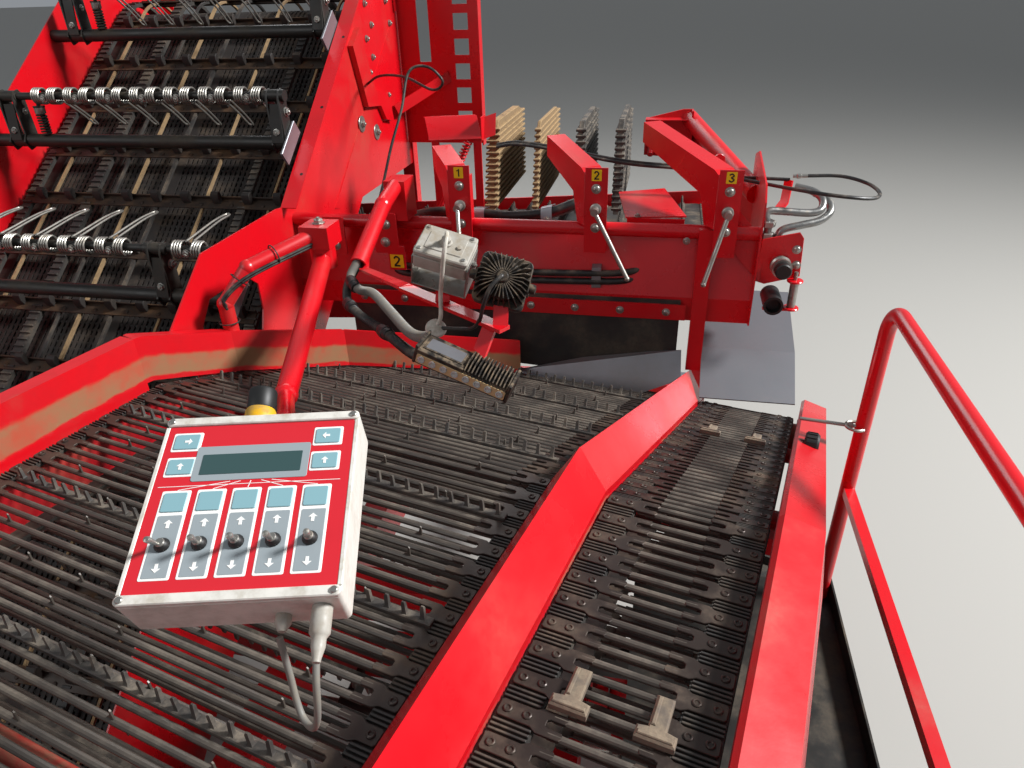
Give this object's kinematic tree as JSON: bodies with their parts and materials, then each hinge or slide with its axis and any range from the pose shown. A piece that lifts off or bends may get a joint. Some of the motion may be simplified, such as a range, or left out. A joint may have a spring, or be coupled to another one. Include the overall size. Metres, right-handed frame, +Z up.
{
  "type": "trailed potato harvester",
  "caption": "Trailed side-digging potato harvester with rod webs, haulm tower, finger separator, sorting table with platform, and bunker.",
  "frame": {"origin": "on the ground, at the middle of the machine's outline as seen from above", "axes": "+X to the machine's left, -Y the way it is towed, +Z up"},
  "size_m": [3.47, 10.75, 3.8],
  "materials": {
    "red_paint": "glossy two-layer signal-red paint with dust",
    "dark_steel": "dull dark steel worn by soil",
    "bright_steel": "zinc-plated or soil-polished steel",
    "rim_paint": "light grey wheel paint",
    "tyre": "black tyre rubber",
    "rubber": "black rubber with a little dry soil",
    "zinc_sheet": "galvanised sheet",
    "box_shell": "light grey cast aluminium",
    "lamp_black": "satin black powder coat"
  },
  "bodies": {
    "machine": {"chassis_frame": "red_paint", "axle_beam": "red_paint", "steering_cylinder": "dark_steel", "tower_wall": "red_paint", "rear_panel": "red_paint", "outer_wall": "red_paint", "channel_shafts": "dark_steel", "main_web": "dark_steel", "haulm_web": "rubber", "haulm_combs": "dark_steel", "finger_web": "rubber", "finger_frame": "red_paint", "finger_combs": "rubber", "separator_beam": "red_paint", "adjuster_arms": "red_paint", "curtain": "rubber", "chute_plate": "zinc_sheet", "table_frame": "red_paint", "table_legs": "red_paint", "table_wall": "red_paint", "divider": "red_paint", "table_rail": "red_paint", "picking_web": "dark_steel", "trash_web": "dark_steel", "bunker_tub": "red_paint", "bunker_floor": "dark_steel", "platform": "red_paint", "hoop_rail": "red_paint", "arm_post": "red_paint", "lamp_arm": "red_paint", "junction_box": "box_shell", "work_lamps": "lamp_black", "hoses": "rubber", "light_bar": "zinc_sheet"},
    "tie_rod": {"tie_rod": "bright_steel"},
    "knuckle_left": {"knuckle_left": "red_paint"},
    "wheel_left": {"rim_left": "rim_paint", "tyre_left": "tyre"},
    "knuckle_right": {"knuckle_right": "red_paint"},
    "wheel_right": {"rim_right": "rim_paint", "tyre_right": "tyre"},
    "drawbar": {"drawbar": "red_paint", "tow_eye": "bright_steel"},
    "jack_leg": {"jack_leg": "bright_steel"},
    "digger": {"digger_frame": "red_paint", "shares": "bright_steel", "digging_web": "dark_steel"},
    "disc_right": {"disc_right": "bright_steel"},
    "disc_middle": {"disc_middle": "bright_steel"},
    "disc_left": {"disc_left": "bright_steel"},
    "ridge_roller_right": {"ridge_roller_right": "rubber"},
    "ridge_roller_left": {"ridge_roller_left": "rubber"},
    "crank_1": {"crank_1": "bright_steel"},
    "crank_2": {"crank_2": "bright_steel"},
    "crank_3": {"crank_3": "bright_steel"},
    "discharge_elevator": {"discharge_elevator": "red_paint"},
    "ladder": {"ladder": "red_paint"},
    "control_arm": {"control_arm": "red_paint", "control_box": "box_shell", "box_cable": "rubber"}
  },
  "joints": [
    {"name": "steer_left", "type": "hinge", "parent": "machine", "child": "knuckle_left", "pos_m": [1.04, 3.1, 0.67], "axis": [0, 0, 1], "range_deg": [-10, 10]},
    {"name": "steer_right", "type": "hinge", "parent": "machine", "child": "knuckle_right", "pos_m": [-1.04, 3.1, 0.67], "axis": [0, 0, 1], "range_deg": [-10, 10]},
    {"name": "tie_rod_slide", "type": "slide", "parent": "machine", "child": "tie_rod", "axis": [1, 0, 0], "range_m": [-0.04, 0.04]},
    {"name": "wheel_left_spin", "type": "hinge", "parent": "knuckle_left", "child": "wheel_left", "pos_m": [1.435, 3.1, 0.67], "axis": [1, 0, 0], "continuous": true},
    {"name": "wheel_right_spin", "type": "hinge", "parent": "knuckle_right", "child": "wheel_right", "pos_m": [-1.435, 3.1, 0.67], "axis": [1, 0, 0], "continuous": true},
    {"name": "drawbar_swing", "type": "hinge", "parent": "machine", "child": "drawbar", "pos_m": [0.45, -3.05, 1.05], "axis": [0, 0, 1], "range_deg": [-20, 20]},
    {"name": "jack_slide", "type": "slide", "parent": "drawbar", "child": "jack_leg", "axis": [0, 0, 1], "range_m": [0, 0.35]},
    {"name": "digger_lift", "type": "hinge", "parent": "machine", "child": "digger", "pos_m": [-1.0475, 0.85, 0.95], "axis": [1, 0, 0], "range_deg": [0, 7]},
    {"name": "disc_right_spin", "type": "hinge", "parent": "digger", "child": "disc_right", "pos_m": [-1.6675, -2.82266, 0.49212], "axis": [1, 0, 0], "continuous": true},
    {"name": "disc_middle_spin", "type": "hinge", "parent": "digger", "child": "disc_middle", "pos_m": [-1.0475, -2.82266, 0.49212], "axis": [1, 0, 0], "continuous": true},
    {"name": "disc_left_spin", "type": "hinge", "parent": "digger", "child": "disc_left", "pos_m": [-0.4275, -2.82266, 0.49212], "axis": [1, 0, 0], "continuous": true},
    {"name": "ridge_roller_right_spin", "type": "hinge", "parent": "digger", "child": "ridge_roller_right", "pos_m": [-1.3575, -3.15291, 0.60454], "axis": [1, 0, 0], "continuous": true},
    {"name": "ridge_roller_left_spin", "type": "hinge", "parent": "digger", "child": "ridge_roller_left", "pos_m": [-0.7375, -3.15291, 0.60454], "axis": [1, 0, 0], "continuous": true},
    {"name": "crank_1_turn", "type": "hinge", "parent": "machine", "child": "crank_1", "pos_m": [0.34, 3.44, 2.66], "axis": [0, 1, 0], "continuous": true},
    {"name": "crank_2_turn", "type": "hinge", "parent": "machine", "child": "crank_2", "pos_m": [0.83, 3.44, 2.66], "axis": [0, 1, 0], "continuous": true},
    {"name": "crank_3_turn", "type": "hinge", "parent": "machine", "child": "crank_3", "pos_m": [1.275, 3.44, 2.66], "axis": [0, 1, 0], "continuous": true},
    {"name": "elevator_fold", "type": "hinge", "parent": "machine", "child": "discharge_elevator", "pos_m": [1.36, -1.6, 1.3], "axis": [0, 1, 0], "range_deg": [0, 75]},
    {"name": "ladder_fold", "type": "hinge", "parent": "machine", "child": "ladder", "pos_m": [1.68, 0.62, 1.47], "axis": [0, 1, 0], "range_deg": [-110, 0]},
    {"name": "control_arm_swivel", "type": "hinge", "parent": "machine", "child": "control_arm", "pos_m": [-0.05, 3.15, 2.61], "axis": [0, 0, 1], "range_deg": [-20, 12]}
  ],
  "couplings": [
    {"joint": "steer_right", "follows": "steer_left", "ratio": 1},
    {"joint": "tie_rod_slide", "follows": "steer_left", "m_per_rad": 0.22}
  ]
}
